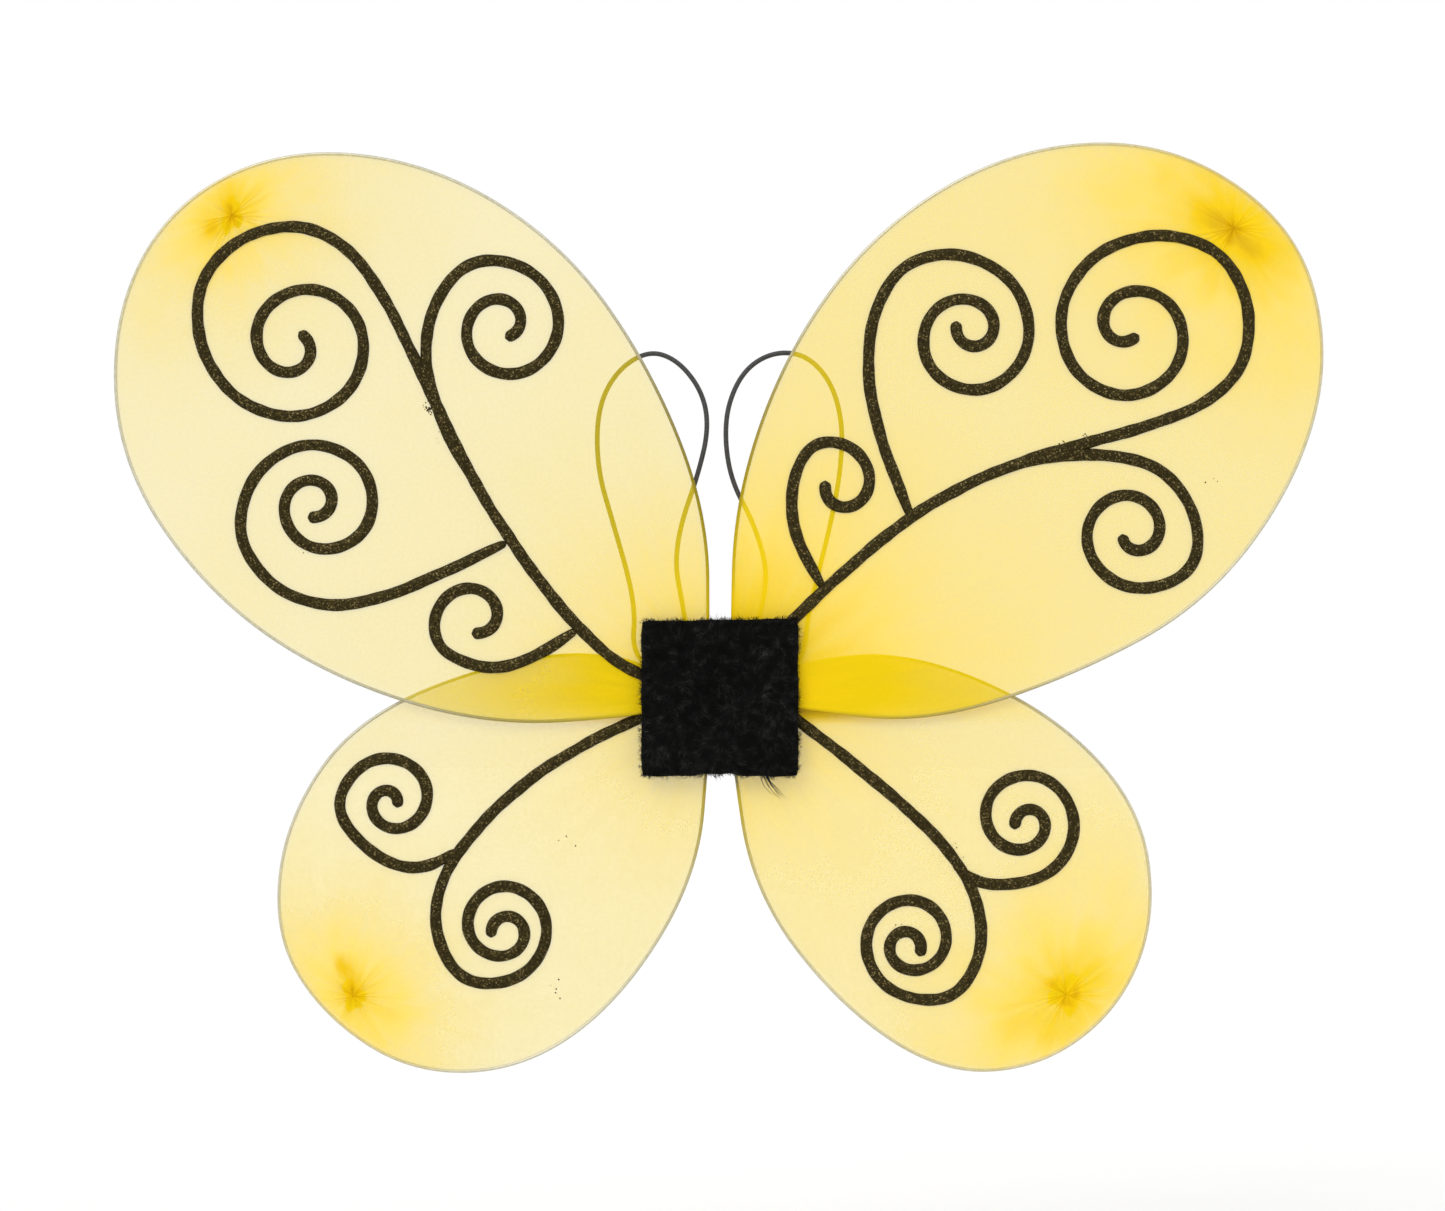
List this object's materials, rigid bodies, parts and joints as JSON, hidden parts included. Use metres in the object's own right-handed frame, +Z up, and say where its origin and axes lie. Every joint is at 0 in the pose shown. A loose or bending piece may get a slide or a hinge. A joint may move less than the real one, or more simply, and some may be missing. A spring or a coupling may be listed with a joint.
{
  "type": "fairy wings",
  "caption": "Costume wings of sheer yellow nylon over wire loops, with black glitter swirls, plush centre pads and elastic shoulder loops; each side folds forward.",
  "frame": {"origin": "centre of the back pad's rear face, the face that lies on the wearer's back", "axes": "+X to the right as seen from the decorated front, +Y out of the rear face towards the wearer, +Z up; the decorated front faces -Y"},
  "size_m": [0.483, 0.0309, 0.3719],
  "materials": {
    "nylon": "sheer matt knit",
    "gathered_nylon": "matt knit, gathered",
    "frame_wire": "bright drawn wire",
    "glitter_glue": "black with fine glitter",
    "plush": "deep black pile",
    "cloth_tape": "matt woven tape",
    "hot_glue": "waxy, milky",
    "elastic": "braided round elastic"
  },
  "bodies": {
    "root": {"back_pad": "plush", "front_pad": "plush", "lashing_top": "cloth_tape", "lashing_bottom": "cloth_tape", "glue_front": "hot_glue", "glue_back": "hot_glue", "strap_left": "elastic", "strap_right": "elastic", "dab_left": "hot_glue", "dab_right": "hot_glue"},
    "lower_left_wing": {"wire_lower_left": "frame_wire", "nylon_lower_left": "nylon", "swirl_lower_left": "glitter_glue", "toe_tie_lower_left": "gathered_nylon"},
    "upper_left_wing": {"wire_upper_left": "frame_wire", "nylon_upper_left": "nylon", "swirl_upper_left": "glitter_glue", "toe_tie_upper_left": "gathered_nylon"},
    "lower_right_wing": {"wire_lower_right": "frame_wire", "nylon_lower_right": "nylon", "swirl_lower_right": "glitter_glue", "toe_tie_lower_right": "gathered_nylon"},
    "upper_right_wing": {"wire_upper_right": "frame_wire", "nylon_upper_right": "nylon", "swirl_upper_right": "glitter_glue", "toe_tie_upper_right": "gathered_nylon"}
  },
  "joints": [
    {"name": "left_fold", "type": "hinge", "parent": "root", "child": "lower_left_wing", "pos_m": [-0.005, -0.0086, 0], "axis": [0, 0, 1], "range_deg": [0, 72], "deforming": ["front_pad"]},
    {"name": "left_upper_lead", "type": "hinge", "parent": "lower_left_wing", "child": "upper_left_wing", "pos_m": [-0.005, -0.0086, 0], "axis": [0, 0, 1], "range_deg": [0, 8], "deforming": ["front_pad"]},
    {"name": "right_fold", "type": "hinge", "parent": "root", "child": "lower_right_wing", "pos_m": [0.005, -0.0086, 0], "axis": [0, 0, -1], "range_deg": [0, 72], "deforming": ["front_pad"]},
    {"name": "right_upper_lead", "type": "hinge", "parent": "lower_right_wing", "child": "upper_right_wing", "pos_m": [0.005, -0.0086, 0], "axis": [0, 0, -1], "range_deg": [0, 8], "deforming": ["front_pad"]}
  ]
}
